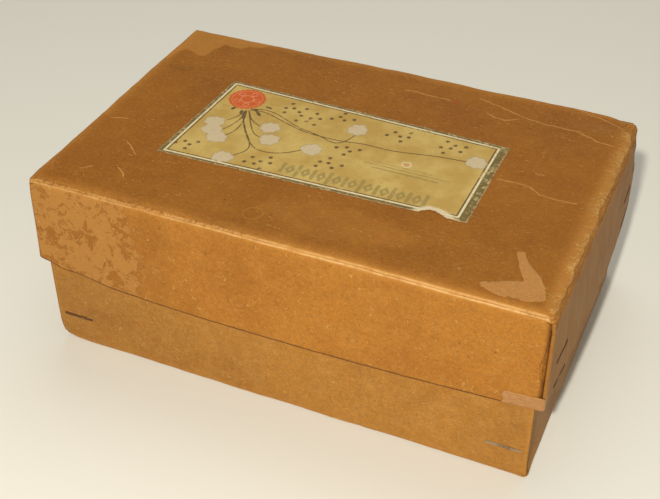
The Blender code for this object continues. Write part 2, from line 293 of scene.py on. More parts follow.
class Sheet:
    """Quads gathered from grids of points, welded into one open surface."""

    def __init__(self):
        self.points, self.quads, self.count = [], [], 0

    def add(self, grid):
        grid = np.asarray(grid, float)
        rows, cols = grid.shape[:2]
        self.points.append(grid.reshape(-1, 3))
        self.quads.append(grid_quads(rows, cols) + self.count)
        self.count += rows * cols

    def welded(self):
        points, quads = np.vstack(self.points), np.vstack(self.quads)
        _, first, index = np.unique(
            np.round(points / WELD).astype(np.int64), axis=0, return_index=True, return_inverse=True
        )
        return points[first], index.reshape(-1)[quads]


def face_list(points, quads, heart):
    """Faces turned to face away from the heart line, with doubled corners left out."""
    corners = points[quads]
    normals = np.cross(corners[:, 2] - corners[:, 0], corners[:, 3] - corners[:, 1])
    outward = corners.mean(axis=1) - heart
    wrong = (normals * outward).sum(axis=1) < 0
    quads = np.where(wrong[:, None], quads[:, ::-1], quads)
    faces = [tuple(dict.fromkeys(quad)) for quad in quads.tolist()]
    return [face for face in faces if len(face) > 2]


def new_mesh_object(name, points, faces, materials, masks=None):
    mesh = bpy.data.meshes.new(name)
    mesh.from_pydata((points * MM).tolist(), [], faces)
    mesh.validate()
    for key, values in (masks or {}).items():
        layer = mesh.attributes.new(key, "FLOAT", "POINT")
        layer.data.foreach_set("value", np.asarray(values, np.float32))
    for material in materials:
        mesh.materials.append(material)
    mesh.shade_smooth()
    piece = bpy.data.objects.new(name, mesh)
    bpy.context.scene.collection.objects.link(piece)
    return piece


def thicken(piece, thickness, even=True, rim_material=0, inner_material=0):
    board = piece.modifiers.new("thickness", "SOLIDIFY")
    board.thickness = thickness * MM
    board.offset = -1.0
    board.use_even_offset = even
    board.material_offset_rim = rim_material
    board.material_offset = inner_material


# ---- folded trays


def tray_quarter(half_out, half_tab, depth, pitch):
    """Dense grids over a quarter of the folded blank: u across the outer walls, v across the tabbed ones."""
    flat_u, flat_v = half_out - FOLD_RADIUS, half_tab - FOLD_RADIUS
    turn_u = flat_u - BOARD - GAP
    fine, coarse = 0.35 * pitch, pitch
    us = graded(0, turn_u, coarse, fine, (0, 7)) + [turn_u + (flat_u - turn_u) / 2, flat_u]
    vs = graded(0, flat_v, coarse, fine, (0, 7))
    low_ws = graded(FOLD_RADIUS + CORNER_SLOT, depth, coarse, fine, (6, 2))
    ws = [FOLD_RADIUS] + low_ws
    angles = [math.pi / 2 * i / 10 for i in range(11)]
    reaches = [(FOLD_RADIUS * math.sin(a), FOLD_RADIUS * (1 - math.cos(a))) for a in angles]
    turns = [(math.cos(a), math.sin(a)) for a in angles]
    wall_end = [flat_v, (flat_v + half_tab - EDGE_SETBACK) / 2, half_tab - EDGE_SETBACK]
    tab_vs = graded(flat_v - TAB_LENGTH, flat_v, coarse, fine, (0, 4))
    tab_u = turn_u + FOLD_RADIUS

    sheet = Sheet()
    sheet.add([[(u, v, 0) for u in us] for v in vs])
    sheet.add([[(flat_u + reach, v, drop) for v in vs] for reach, drop in reaches])
    sheet.add([[(u, flat_v + reach, drop) for u in us] for reach, drop in reaches])
    sheet.add([[(flat_u + reach * c, flat_v + reach * s, drop) for c, s in turns] for reach, drop in reaches])
    sheet.add([[(half_out, v, w) for v in vs] for w in ws])
    sheet.add([[(half_out, v, w) for v in wall_end] for w in low_ws])
    sheet.add([[(u, half_tab, w) for u in us[:-2]] for w in ws])
    sheet.add([[(turn_u + reach, half_tab - inset, w) for reach, inset in reaches] for w in low_ws])
    sheet.add([[(tab_u, v, w) for v in tab_vs] for w in low_ws])
    return sheet.welded()


def whole_tray(quarter, swap):
    """All four quarters of a tray, welded: (points as x, y and depth, quads)."""
    points, quads = quarter
    if swap:
        points = points[:, [1, 0, 2]]
    sheet = Sheet()
    for sx, sy in itertools.product((1, -1), repeat=2):
        sheet.points.append(points * (sx, sy, 1))
        sheet.quads.append(quads + sheet.count)
        sheet.count += len(points)
    return sheet.welded()


def panel_wave(xy):
    """Height of the lid's panel against its true plane: never above it, and almost still under the paper."""
    spots = on_plane(xy)
    wave = 0.22 * value_noise(spots, 46, 3) + 0.07 * value_noise(spots, 13, 5)
    calm = smooth(0, 22, to_polygon(xy, LABEL_CORNERS))
    return (0.15 + 0.85 * calm) * wave - 0.16


def fold_masks(points, half_x, half_y):
    """Distances that the wear follows: across the top fold, and away from the upright corners."""
    du = half_x - np.abs(points[:, 0])
    dv = half_y - np.abs(points[:, 1])
    fold = np.minimum(du, dv) - points[:, 2]
    upright = np.where(points[:, 2] > FOLD_RADIUS, np.maximum(du, dv), 50)
    return du, dv, fold, upright


def groove_at(from_outer, from_tabbed, depth):
    """Where a tabbed wall turns in behind the outer wall's cut end: the groove that gets painted shade."""
    start = BOARD + GAP
    inward = smooth(start + 2.1, start + 0.5, from_outer)
    return inward * (from_outer > start - NEAR) * (from_tabbed < FOLD_RADIUS + NEAR) * (depth > FOLD_RADIUS)


def shape_lid(points):
    """Moves the lid's rest points (x, y, depth) to where the old board has gone, and paints its masks."""
    x, y, w = points.T
    du, dv, fold, upright = fold_masks(points, LID_U, LID_V)
    spots = points.copy()
    below = np.clip((w - FOLD_RADIUS) / (LID_DEPTH - FOLD_RADIUS), 0, 1)
    on_wall = w > FOLD_RADIUS * 0.999
    side_x = on_wall & (du < dv)
    side_y = on_wall & ~side_x

    # Slack skirts, as in the CAD
    out_x = END_SWELL * (1 - np.clip(y / LID_V, -1, 1) ** 2) * below
    out_y = LONG_SWELL * (1 - np.clip(x / LID_U, -1, 1) ** 2) * below
    push = np.zeros_like(points)
    push_x, push_y, push_w = push.T
    push_x += np.sign(x) * np.where(np.abs(x) > LID_U - 5, out_x, 0) * on_wall
    push_y += np.sign(y) * np.where(np.abs(y) > LID_V - FOLD_RADIUS - NEAR, out_y, 0) * side_y

    # Panel waves, which die out at the folds, and the folds' own softness
    top = ~on_wall
    push_w -= np.where(top, panel_wave(points[:, :2]), panel_wave(points[:, :2]) * (1 - smooth(0, 6, w)))
    at_fold = hump(fold, 2.6)
    lump = 0.30 * rough_noise(spots, 24, 11, 2) + 0.16 * rough_noise(spots, 6, 17, 2)
    dent = at_fold * (0.32 + lump)
    push_x -= np.sign(x) * dent * np.clip(1 - du / 6, 0, 1)
    push_y -= np.sign(y) * dent * np.clip(1 - dv / 6, 0, 1)
    push_w += dent * 0.7

    # A narrow valley between the fold's two painted highlight lines
    push_w += 0.16 * hump(fold - 0.2, 0.5)

    # The right-hand fold has gone soft and tufted
    tufts = hump(fold + 0.6, 2.2) * (x > 0) * (du < dv + 1)
    tufts = tufts * (0.15 + 0.42 * rough_noise(spots, 3.0, 79, 2))
    push_x -= tufts
    push_w += tufts

    # Walls: shallow waves, still around the stitches
    still = smooth(6, 16, np.abs(np.abs(y) - LID_STITCH_Y)) * side_x + 1.0 * side_y
    ripple = (0.35 * value_noise(spots, 38, 23) + 0.10 * value_noise(spots, 11, 29))
    fade = smooth(0, 10, w) * still * smooth(1, 9, upright)
    push_x += np.sign(x) * (ripple - 0.25) * fade * side_x
    push_y += np.sign(y) * (ripple - 0.10) * fade * side_y

    # Crushed far right corner: driven in and down
    corner = np.array([LID_U, LID_V, 4])
    crush = hump(np.linalg.norm((points - corner) * (1, 1, 0.8), axis=1), 13)
    crumple = 1 + 0.5 * rough_noise(spots, 7, 41, 2)
    push_x -= 2.1 * crush * crumple
    push_y -= 1.7 * crush * crumple
    push_w += 1.6 * crush * crumple

    # Near left corner: softened above, and its lower edge worn up and flared
    corner = np.array([-LID_U, -LID_V, 1])
    blunt = hump(np.linalg.norm(points - corner, axis=1), 7)
    push_x += 0.3 * blunt
    push_y += 0.5 * blunt
    push_w += 0.3 * blunt

    # There the long wall's fold stands out and hides the end wall's cut end
    near_left = (x < 0) & (y < 0) & (w > FOLD_RADIUS + CORNER_SLOT / 2)
    outer = du < NEAR
    turned = near_left & (du > BOARD) & (du < 8)
    push_x -= 1.7 * smooth(7, 3.4, du) * smooth(13, 4, dv) * turned
    push_x += 1.7 * smooth(13, 4, dv) * smooth(2.5, 7, w) * (near_left & outer)
    push_y += 0.8 * (FOLD_RADIUS - dv) * (near_left & outer & (dv < FOLD_RADIUS))
    front = (y < -LID_V + 8) & on_wall
    rise = (2.2 * smooth(-80, -104, x) + 3.4 * smooth(-108, -124, x))
    rise *= smooth(-LID_V + 9, -LID_V + 2, y) * front
    push_w -= rise * below ** 2
    flare = smooth(-100, -122, x) * below ** 2 * front
    push_y -= 0.8 * flare
    end_left = side_x & (x < 0)
    flare_end = smooth(-50, -78, y) * below ** 2 * (end_left | (front & (x < -LID_U + 5.9)))
    push_x -= 0.35 * flare_end
    push_w -= 3.0 * smooth(-62, -79, y) * below ** 2 * end_left

    # Lower edges fray a little
    edge = smooth(0.93, 1.0, below)
    push_w -= edge * (0.20 + 0.14 * rough_noise(spots, 7, 53, 3))

    # Torn liner: the right-hand fold, and the upright corner nearest the tape
    wander = rough_noise(np.column_stack([x * 0, y, w * 0]), 9, 61, 3)
    ragged = (1.35 + 1.5 * wander - 0.5 * smooth(20, 60, y))
    torn_fold = 1.35 * ragged - np.abs(fold + 1.5 - 1.3 * value_noise(spots, 9, 67))
    torn_fold = np.where((x > 0) & (du < dv + 2) & (w < 12), torn_fold, -3)
    depth_z = TOP - w
    crack_x = np.interp(depth_z, CORNER_CRACK[::-1, 1], CORNER_CRACK[::-1, 0], left=127, right=127)
    torn_corner = np.where(side_y & (y < 0) & (x > 109.9), x - crack_x + 0.25 * wander, -3)
    far = np.linalg.norm((points - (LID_U, LID_V, 6)) * (1, 0.7, 0.5), axis=1)
    torn_far = (7.5 + 4 * rough_noise(spots, 9, 71, 2)) - far
    torn_far = np.where(x > 99.9, torn_far, -3)
    spot = np.linalg.norm(points - (LID_U, 6, LID_DEPTH - 3), axis=1)
    torn_spot = np.where(x > 99.9, (1.8 + 1.2 * rough_noise(spots, 4, 73, 2)) - spot, -3)
    torn = np.maximum.reduce([torn_fold, torn_corner, torn_far * 0.8, torn_spot])
    recess = 0.30 * smooth(-0.2, 0.5, torn)
    push_x -= np.sign(x) * recess * (du < 3)
    push_y -= np.sign(y) * recess * (dv < 3) * (du >= 3)
    push_w += recess * (w < FOLD_RADIUS)

    # Masks, most of them distances in millimetres
    wall_xz = np.column_stack([x, depth_z])
    on_front = (y < -LID_V + 6)
    patch = np.where(on_front, to_polygon(wall_xz, PATCH) + np.where(w < FOLD_RADIUS, dv * 3, 0), 9)
    wear = at_fold * (0.55 + 0.45 * smooth(-90, 60, x) * (y < 0))
    right = (x > 90) & (du < dv)
    wear = np.where(right, hump(fold - 2.2, 4.6) * (0.9 + 0.4 * wander), wear)
    masks = {
        "fold_mm": fold,
        "wear": np.clip(wear, 0, 1),
        "scuffed": hump(fold - 2.0, 4.2) * right * (0.60 + 0.45 * wander),
        "torn_mm": torn,
        "patch_mm": patch,
        "pale_mm": np.where(top, to_polygon(points[:, :2], PALE_FIELD), 9),
        "edge_mm": np.where(on_wall, LID_DEPTH - w, 50),
        "upright_mm": np.minimum(upright, 50),
        "grime": hump(fold - 1.4, 1.9) * (y < -59.9) * smooth(30, -40, x)
        + 0.5 * at_fold * (x > 109.9),
        # painted shade and painted reflection on the right end wall
        "end_wall_shade_and_sheen": side_x * (x > 0) * smooth(2, 12, w),
        "groove": groove_at(du, dv, w) * np.where((x < 0) & (y < 0), 0.15, 1.0),
        "panel": np.clip(1 - w / FOLD_RADIUS, 0, 1),
    }
    moved = points + push
    moved[:, 2] = TOP - np.maximum(moved[:, 2], 0)
    return moved, masks


def shape_base(points):
    x, y, w = points.T
    du, dv, fold, upright = fold_masks(points, BASE_U, BASE_V)
    spots = points + (300, 100, 200)
    on_wall = w > FOLD_RADIUS * 0.999
    side_x = on_wall & (du < dv)
    side_y = on_wall & ~side_x
    push = np.zeros_like(points)
    push_x, push_y, push_w = push.T
    at_fold = hump(fold, 2.4)
    lump = 0.26 * rough_noise(spots, 22, 111, 2) + 0.12 * rough_noise(spots, 5, 117, 2)
    dent = at_fold * (0.22 + lump)
    push_x -= np.sign(x) * dent * np.clip(1 - du / 6, 0, 1)
    push_y -= np.sign(y) * dent * np.clip(1 - dv / 6, 0, 1)
    push_w += np.where(on_wall, 0, np.maximum(dent, 0) * 0.5)
    still = smooth(8, 18, np.abs(np.abs(x) - BASE_STITCH_X)) * side_y + 1.0 * side_x
    ripple = (0.35 * value_noise(spots, 42, 123) + 0.07 * value_noise(spots, 12, 129) - 0.30)
    fade = smooth(0, 12, w) * still * smooth(1, 9, upright) * smooth(0, 9, BASE_HEIGHT - w)
    push_x += np.sign(x) * ripple * fade * side_x
    push_y += np.sign(y) * ripple * fade * side_y
    for sx, amount in ((-1, 1.1), (1, -0.5)):
        corner = np.array([sx * BASE_U, -BASE_V, 1])
        blunt = hump(np.linalg.norm(points - corner, axis=1), 6)
        push_x -= sx * amount * blunt
        push_y += amount * blunt * 0.6
        push_w += max(amount, 0) * blunt

    # At the near right corner the end wall has sunk behind the long wall's cut end
    sunk = (x > 0) & (y < 0) & (dv > BOARD) & (du < 6)
    push_x -= 1.2 * smooth(26, 5, dv) * smooth(3, 9, w) * sunk
    wander = rough_noise(spots, 10, 131, 3)
    torn = (0.2 + 1.0 * wander) - np.abs(fold) - 0.6
    masks = {
        "fold_mm": fold,
        "wear": np.clip(at_fold * 0.8, 0, 1),
        "torn_mm": torn,
        "patch_mm": np.full(len(points), NEVER),
        "edge_mm": np.where(on_wall, BASE_HEIGHT - w, 50),
        "upright_mm": np.minimum(upright, 50),
        "grime": 0.3 * at_fold,
        # painted shade and painted reflection on the right end wall
        "end_wall_shade_and_sheen": side_x * (x > 0) * smooth(2, 12, w),
        "groove": groove_at(dv, du, w),
    }
    return points + push, masks


def make_tray(name, quarter, swap, shaper, heart_z, finishes, panel=None):
    """A tray's outer face given the board's thickness inwards, with its panel in a finish of its own."""
    points, quads = whole_tray(quarter, swap)
    moved, masks = shaper(points)
    faces = face_list(moved, quads, (0, 0, heart_z))
    materials = [*finishes, panel, *finishes[1:]] if panel else finishes
    piece = new_mesh_object(name, moved, faces, materials, masks)
    if panel:
        on_panel = points[:, 2] < WELD
        finish = [3 if on_panel[list(face)].all() else 0 for face in faces]
        piece.data.polygons.foreach_set("material_index", finish)
    thicken(piece, BOARD, rim_material=1, inner_material=2)
    return piece


# ---- node materials


class Pattern:
    """A node material under construction. Values are sockets or plain numbers, lengths millimetres."""

    def __init__(self, name):
        self.material = bpy.data.materials.new(name)
        self.material.use_nodes = True
        self.nodes = self.material.node_tree.nodes
        self.links = self.material.node_tree.links
        self.nodes.clear()
        self.shader = self.nodes.new("ShaderNodeBsdfPrincipled")
        output = self.nodes.new("ShaderNodeOutputMaterial")
        self.links.new(self.shader.outputs[0], output.inputs[0])
        self.place = self.nodes.new("ShaderNodeTexCoord").outputs["Object"]
        self.colour = self.relief = None

    def feed(self, socket, value):
        if isinstance(value, bpy.types.NodeSocket):
            self.links.new(value, socket)
        elif isinstance(value, tuple) and len(value) == 3 and len(socket.default_value) == 4:
            socket.default_value = (*value, 1.0)
        else:
            socket.default_value = value

    def math(self, operation, a, b=0.0, clamp=False):
        node = self.nodes.new("ShaderNodeMath")
        node.operation, node.use_clamp = operation, clamp
        self.feed(node.inputs[0], a)
        self.feed(node.inputs[1], b)
        return node.outputs[0]

    def add(self, a, b):
        return self.math("ADD", a, b)

    def times(self, a, b):
        return self.math("MULTIPLY", a, b)

    def least(self, a, b):
        return self.math("MINIMUM", a, b)

    def most(self, a, b):
        return self.math("MAXIMUM", a, b)

    def shaken(self, value, noise, amount):
        """The value moved up and down by noise, so that its contours are ragged."""
        return self.add(value, self.times(self.add(noise, -0.5), amount))

    def vector(self, operation, a, b=None, scale=None):
        node = self.nodes.new("ShaderNodeVectorMath")
        node.operation = operation
        self.feed(node.inputs[0], a)
        if b is not None:
            self.feed(node.inputs[1], b)
        if scale is not None:
            self.feed(node.inputs["Scale"], scale)
        return node.outputs["Value"] if operation in ("DOT_PRODUCT", "LENGTH") else node.outputs["Vector"]

    def ramp(self, value, low, high, to_low=0.0, to_high=1.0):
        node = self.nodes.new("ShaderNodeMapRange")
        node.interpolation_type = "SMOOTHSTEP"
        for socket, number in zip(node.inputs, (value, low, high, to_low, to_high)):
            self.feed(socket, number)
        return node.outputs[0]

    def near(self, value, inner, outer):
        """1 up to the inner value and 0 past the outer one."""
        return self.ramp(value, inner, outer, 1.0, 0.0)

    def mask(self, name):
        node = self.nodes.new("ShaderNodeAttribute")
        node.attribute_name = name
        return node.outputs["Fac"]

    def stretched(self, *factors):
        return self.vector("MULTIPLY", self.place, factors)

    def texture(self, kind, size, at=None, **settings):
        node = self.nodes.new(kind)
        self.feed(node.inputs["Vector"], at or self.place)
        node.inputs["Scale"].default_value = 1 / (size * MM)
        for key, value in settings.items():
            node.inputs[key].default_value = value
        return node.outputs

    def noise(self, size, detail=2.0, roughness=0.5, at=None, distortion=0.0, output="Fac"):
        return self.texture("ShaderNodeTexNoise", size, at, Detail=detail, Roughness=roughness,
                            Distortion=distortion)[output]

    def cells(self, size, at=None):
        return self.texture("ShaderNodeTexVoronoi", size, at)["Distance"]

    def mix(self, amount, a, b, blend="MIX"):
        node = self.nodes.new("ShaderNodeMix")
        node.data_type, node.blend_type = "RGBA", blend
        for socket, value in (("Factor", amount), ("A", a), ("B", b)):
            self.feed(node.inputs[socket], value)
        return node.outputs["Result"]

    def tinted(self, colour, tint):
        return self.mix(1.0, colour, tint, "MULTIPLY")

    def shade(self, colour, factor):
        grey = self.nodes.new("ShaderNodeCombineColor")
        for socket in grey.inputs:
            self.feed(socket, factor)
        return self.tinted(colour, grey.outputs[0])

    def coat(self, amount, tint, strength=None):
        """Mixes the tint into the colour so far."""
        self.colour = self.mix(amount if strength is None else self.times(amount, strength), self.colour, tint)

    def lift(self, amount, height):
        self.relief = self.add(self.relief, self.times(amount, height))

    def warped(self, size, amount):
        """The place, shifted by noise, so that straight marks wander."""
        centred = self.vector("SUBTRACT", self.noise(size, output="Color"), (0.5, 0.5, 0.5))
        return self.vector("ADD", self.place, self.vector("SCALE", centred, scale=amount * MM))

    def line_distance(self, at, path):
        """Distance in metres to a path of straight runs."""
        nearest = None
        for a, b in zip(path, path[1:]):
            a, b = Vector(a) * MM, Vector(b) * MM
            away = self.vector("SUBTRACT", at, tuple(a))
            along = self.vector("DOT_PRODUCT", away, tuple((b - a) / (b - a).length_squared))
            along = self.math("ADD", along, 0.0, clamp=True)
            foot = self.vector("SCALE", tuple(b - a), scale=along)
            gap = self.vector("LENGTH", self.vector("SUBTRACT", away, foot))
            nearest = gap if nearest is None else self.least(nearest, gap)
        return nearest

    def bump(self, height, distance, strength=1.0, normal=None):
        node = self.nodes.new("ShaderNodeBump")
        node.inputs["Strength"].default_value = strength
        node.inputs["Distance"].default_value = distance * MM
        self.feed(node.inputs["Height"], height)
        if normal is not None:
            self.links.new(normal, node.inputs["Normal"])
        return node.outputs["Normal"]

    def finish(self, roughness, normal=None, specular=0.5, metallic=None):
        self.feed(self.shader.inputs["Base Color"], self.colour)
        self.feed(self.shader.inputs["Roughness"], roughness)
        self.shader.inputs["Specular IOR Level"].default_value = specular
        if metallic is not None:
            self.feed(self.shader.inputs["Metallic"], metallic)
        if normal is not None:
            self.links.new(normal, self.shader.inputs["Normal"])
        return self.material


def kraft_ground(p, tint):
    """The brown liner itself: clouds, fibre, grain and specks, and a panel darkened partly by its own dirtier
    tone and partly by painted shade.
    """
    clouds = p.noise(34, 3.0, 0.55)
    blotch = p.noise(9, 4.0, 0.65, distortion=0.5)
    fibre = p.ramp(p.noise(1.7, 5.0, 0.78, at=p.stretched(0.8, 1.0, 1.0)), 0.30, 0.70)
    grain = p.ramp(p.noise(0.5, 3.0, 0.75), 0.30, 0.70)
    p.colour = p.mix(p.ramp(clouds, 0.24, 0.66, 0.45, 1.0), KRAFT_DARK, KRAFT)
    p.coat(p.ramp(blotch, 0.40, 0.72, 0.0, 0.30), KRAFT_LIGHT)
    tone = p.add(0.67, p.add(p.times(fibre, 0.27), p.times(grain, 0.37)))
    p.colour = p.shade(p.tinted(p.colour, tint), tone)
    # The panel is darkened: partly its own dirtier tone, partly painted shade that keeps the top darker than the
    # walls
    p.coat(p.ramp(p.mask("fold_mm"), 0.5, 9.0), p.tinted(p.colour, PANEL_DIRT_AND_SHADE_TINT))
    specks = p.cells(3.1, at=p.warped(4, 2))
    rare = p.noise(2.7, 1.0, 0.5)
    p.coat(p.times(p.near(specks, 0.07, 0.16), p.ramp(rare, 0.53, 0.62)), KRAFT_SOOT_AND_SHADE, 0.50)
    p.coat(p.near(p.cells(9.0, at=p.warped(3, 3)), 0.035, 0.08), KRAFT_SOOT_AND_SHADE, 0.5)
    flecks = p.times(p.near(p.cells(5.2), 0.05, 0.10), p.ramp(rare, 0.46, 0.38))
    p.coat(flecks, KRAFT_BARE, 0.55)
    p.relief = p.add(p.times(fibre, 0.6), p.times(grain, 0.5))


def kraft_marks(p, on_panel):
    """Folds, scuffs, torn liner, paste patch and painted light and shade, from the mesh's masks. Returns dull and
    burnished areas.
    """
    ragged = p.noise(2.2, 4.0, 0.7)
    finer = p.noise(0.8, 3.0, 0.7)
    fold, wear = p.mask("fold_mm"), p.mask("wear")

    if on_panel:
        # Lighter scuffed field along the far left of the panel
        p.coat(p.ramp(p.shaken(p.mask("pale_mm"), ragged, 5.0), 0.3, -0.3), KRAFT_LIGHT, 0.55)
    else:
        # Old paste and paper fibre left on the front wall
        patch = p.shaken(p.mask("patch_mm"), ragged, 9.0)
        inside = p.ramp(patch, 0.35, -0.35)
        islands = p.add(p.noise(6.5, 5.0, 0.75, distortion=0.6), p.times(p.most(patch, -5.0), 0.010))
        holes = p.ramp(p.add(islands, p.times(finer, 0.10)), 0.555, 0.525)
        film = p.times(inside, holes)
        p.coat(film, p.shade(PASTE, p.add(0.78, p.times(finer, 0.40))), 0.80)
        p.coat(p.times(inside, p.ramp(holes, 1.0, 0.0)), KRAFT_DARK, 0.50)
        p.lift(film, 1.1)

    # Paler worn colour over the fold that is partly painted highlight, two painted highlight lines, and painted
    # shade in the hairline valley between them
    band = p.times(wear, p.ramp(p.add(ragged, p.times(finer, 0.35)), 0.34, 0.78, 0.55, 1.0))
    p.coat(band, KRAFT_LIGHT, 0.80)
    wobble = p.shaken(fold, p.noise(14, 3.0, 0.6), 1.6)
    # These two lines are painted highlights where the rounded fold would catch the light
    for offset, strength in ((1.0, 0.50), (-0.85, 0.75)):
        line = p.near(p.math("ABSOLUTE", p.add(wobble, -offset)), 0.05, 1.15)
        line = p.times(p.times(line, wear), p.ramp(p.noise(6, 3.0, 0.7), 0.30, 0.62, 0.25, 1.0))
        p.coat(line, FOLD_HIGHLIGHT_PAINT, strength)
    hairline = p.near(p.math("ABSOLUTE", p.add(wobble, -0.05)), 0.10, 0.36)
    hairline = p.times(hairline, p.ramp(p.noise(13, 2.0, 0.5), 0.36, 0.52))
    # Painted shade in the valley between the two highlight lines
    p.coat(p.times(hairline, wear), KRAFT_DARK, 0.65)
    p.coat(p.times(p.ramp(p.noise(1.9, 5.0, 0.80), 0.47, 0.62), p.mask("grime")), KRAFT_STAIN_AND_SHADE, 0.80)

    scuffed = p.mask("scuffed")
    strands = p.noise(1.1, 5.0, 0.80, at=p.stretched(0.45, 1.0, 0.45), distortion=0.8)
    scuffs = p.ramp(p.shaken(scuffed, strands, 6.0), 0.52, 0.86)
    p.coat(scuffed, TORN_BROWN, 0.45)
    p.coat(scuffs, SCUFF_TAN, 0.60)
    p.lift(scuffs, 0.8)

    if not on_panel:
        # Rubbed upright corners, painted shade along the lower edges, and painted shade and painted reflection on
        # the right end
        p.coat(p.ramp(p.shaken(p.mask("upright_mm"), ragged, 5.0), 3.0, 0.3), KRAFT_LIGHT, 0.40)
        # Painted shade: a dark line along each wall's lower edge
        p.coat(p.ramp(p.shaken(p.mask("edge_mm"), ragged, 0.6), 0.95, 0.30), KRAFT_SOOT_AND_SHADE, 0.78)
        streak = p.ramp(p.noise(7.0, 3.0, 0.6, at=p.stretched(1.0, 1.0, 0.25)), 0.38, 0.72)
        # Painted shade darkens the right end walls, and painted reflection streaks grey them
        p.coat(p.mask("end_wall_shade_and_sheen"), SHADE_BROWN, 0.35)
        p.coat(p.times(streak, p.mask("end_wall_shade_and_sheen")), PAINTED_SHEEN_GREY, 0.38)
        # Painted shade in the groove at each upright corner
        p.coat(p.mask("groove"), KRAFT_STAIN_AND_SHADE, 0.75)

    # Torn liner: fuzzy board showing in patches, with a dark broken crack along its border, its colour partly the
    # torn board's core and partly painted shade
    tear = p.shaken(p.mask("torn_mm"), p.noise(2.6, 5.0, 0.8), 3.4)
    bare = p.ramp(tear, 0.0, 0.45)
    fuzz = p.noise(0.9, 5.0, 0.8)
    tuft = p.mix(p.ramp(p.add(fuzz, p.times(ragged, 0.4)), 0.60, 0.84), TORN_BROWN, KRAFT_LIGHT)
    p.coat(bare, p.shade(tuft, p.add(0.72, p.times(fuzz, 0.5))), 0.82)
    crack = p.times(p.near(p.math("ABSOLUTE", p.add(tear, 0.04)), 0.10, 0.36), p.ramp(ragged, 0.45, 0.58))
    # The crack's dark colour: partly torn board, partly painted shade in the crack
    p.coat(crack, KRAFT_STAIN_AND_SHADE, 0.80)
    p.lift(bare, p.add(-1.2, p.times(fuzz, 1.6)))
    p.lift(crack, -1.6)
    return bare if on_panel else p.most(bare, film), band


def panel_marks(p):
    """Creases and scratches with painted shade beside them, stains and a ring pressed into the lid's panel."""
    panel = p.ramp(p.mask("panel"), 0.3, 0.7)
    wander = p.vector("MULTIPLY", p.warped(6, 2.6), (1.0, 1.0, 0.0))
    broken = p.ramp(p.noise(5, 3.0, 0.7), 0.32, 0.50, 0.40, 1.0)
    near = 1.0
    for path in CREASES + SCRATCHES:
        near = p.least(near, p.line_distance(wander, on_plane(path).tolist()))
    line = p.times(p.times(p.near(near, 0.11 * MM, 0.55 * MM), broken), panel)
    # Painted shade in a soft band beside the creases and scratches
    p.coat(p.times(p.near(near, 0.3 * MM, 2.4 * MM), panel), KRAFT_DARK, 0.16)
    p.coat(line, KRAFT_BARE, 0.62)
    uneven = p.times(p.add(p.noise(7, 3.0, 0.7), -0.5), 0.9)
    for x, y, half_x, half_y, amount, tint in STAINS:
        away = p.vector("SUBTRACT", wander, (x * MM, y * MM, 0.0))
        reach = p.vector("LENGTH", p.vector("MULTIPLY", away, (1 / (half_x * MM), 1 / (half_y * MM), 0.0)))
        p.coat(p.times(p.times(p.near(p.add(reach, uneven), 0.7, 1.15), amount), panel), tint)
    away = p.vector("SUBTRACT", p.place, (RING[0] * MM, RING[1] * MM, TOP * MM))
    ring = p.vector("LENGTH", p.vector("MULTIPLY", away, (1 / MM, 1 / MM, 0.0)))
    ring = p.times(p.near(p.math("ABSOLUTE", p.add(ring, -RING_RADIUS)), 0.15, 0.55), panel)
    p.coat(ring, KRAFT_LIGHT, 0.30)
    p.lift(ring, -1.0)


def stitch_marks(p, tray):
    """A pressed, stained rim round each stitch of that tray, on walls given painted shade that darkens them
    towards their left end.
    """
    # Painted shade: the walls grow up to 14 per cent darker towards their left end, where less light falls
    across = p.vector("DOT_PRODUCT", p.place, (1.0, 0.0, 0.0))
    p.colour = p.shade(p.colour, p.ramp(across, -0.12, 0.0, 0.86, 1.0))
    for name in sorted(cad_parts):
        if not name.startswith(tray + "_staple"):
            continue
        low, high = node_box(name)
        middle, reach = (low + high) / 2, (high - low) / 2
        along = Vector((reach.x, 0, 0)) if tray == "base" else Vector((0, reach.y, 0))
        gap = p.line_distance(p.place, (middle - along, middle + along))
        rim = p.near(p.shaken(gap, p.noise(1.6, 3.0, 0.7), 0.5 * MM), 0.60 * MM, 1.00 * MM)
        p.coat(rim, KRAFT_SOOT_AND_SHADE, 0.34)
        p.lift(rim, -1.4)


def make_kraft(name, tray, tint, on_panel=False):
    p = Pattern(name)
    kraft_ground(p, tint)
    if on_panel:
        panel_marks(p)
    else:
        stitch_marks(p, tray)
    dull, band = kraft_marks(p, on_panel)
    rough = p.add(0.50, p.times(p.noise(3, 3.0, 0.6), 0.14))
    rough = p.add(rough, p.times(dull, 0.25))
    rough = p.add(rough, p.times(band, -0.16))
    undulation = p.bump(p.noise(14, 2.0, 0.5), 1.1, 0.25)
    return p.finish(rough, p.bump(p.relief, 0.13, 0.8, undulation), specular=0.22)


def make_board_edge():
    """Cut board: pressed brown layers with a darker glue line and loose fibres."""
    p = Pattern("board_cut_edge")
    fuzz = p.noise(0.35, 4.0, 0.8)
    soft = p.noise(2.5, 3.0, 0.6)
    p.colour = p.mix(p.ramp(fuzz, 0.38, 0.70), BOARD_CORE, KRAFT_LIGHT)
    p.coat(p.ramp(soft, 0.50, 0.66, 0.0, 0.6), KRAFT_DARK)
    return p.finish(0.85, p.bump(fuzz, 0.2, 0.9), specular=0.2)


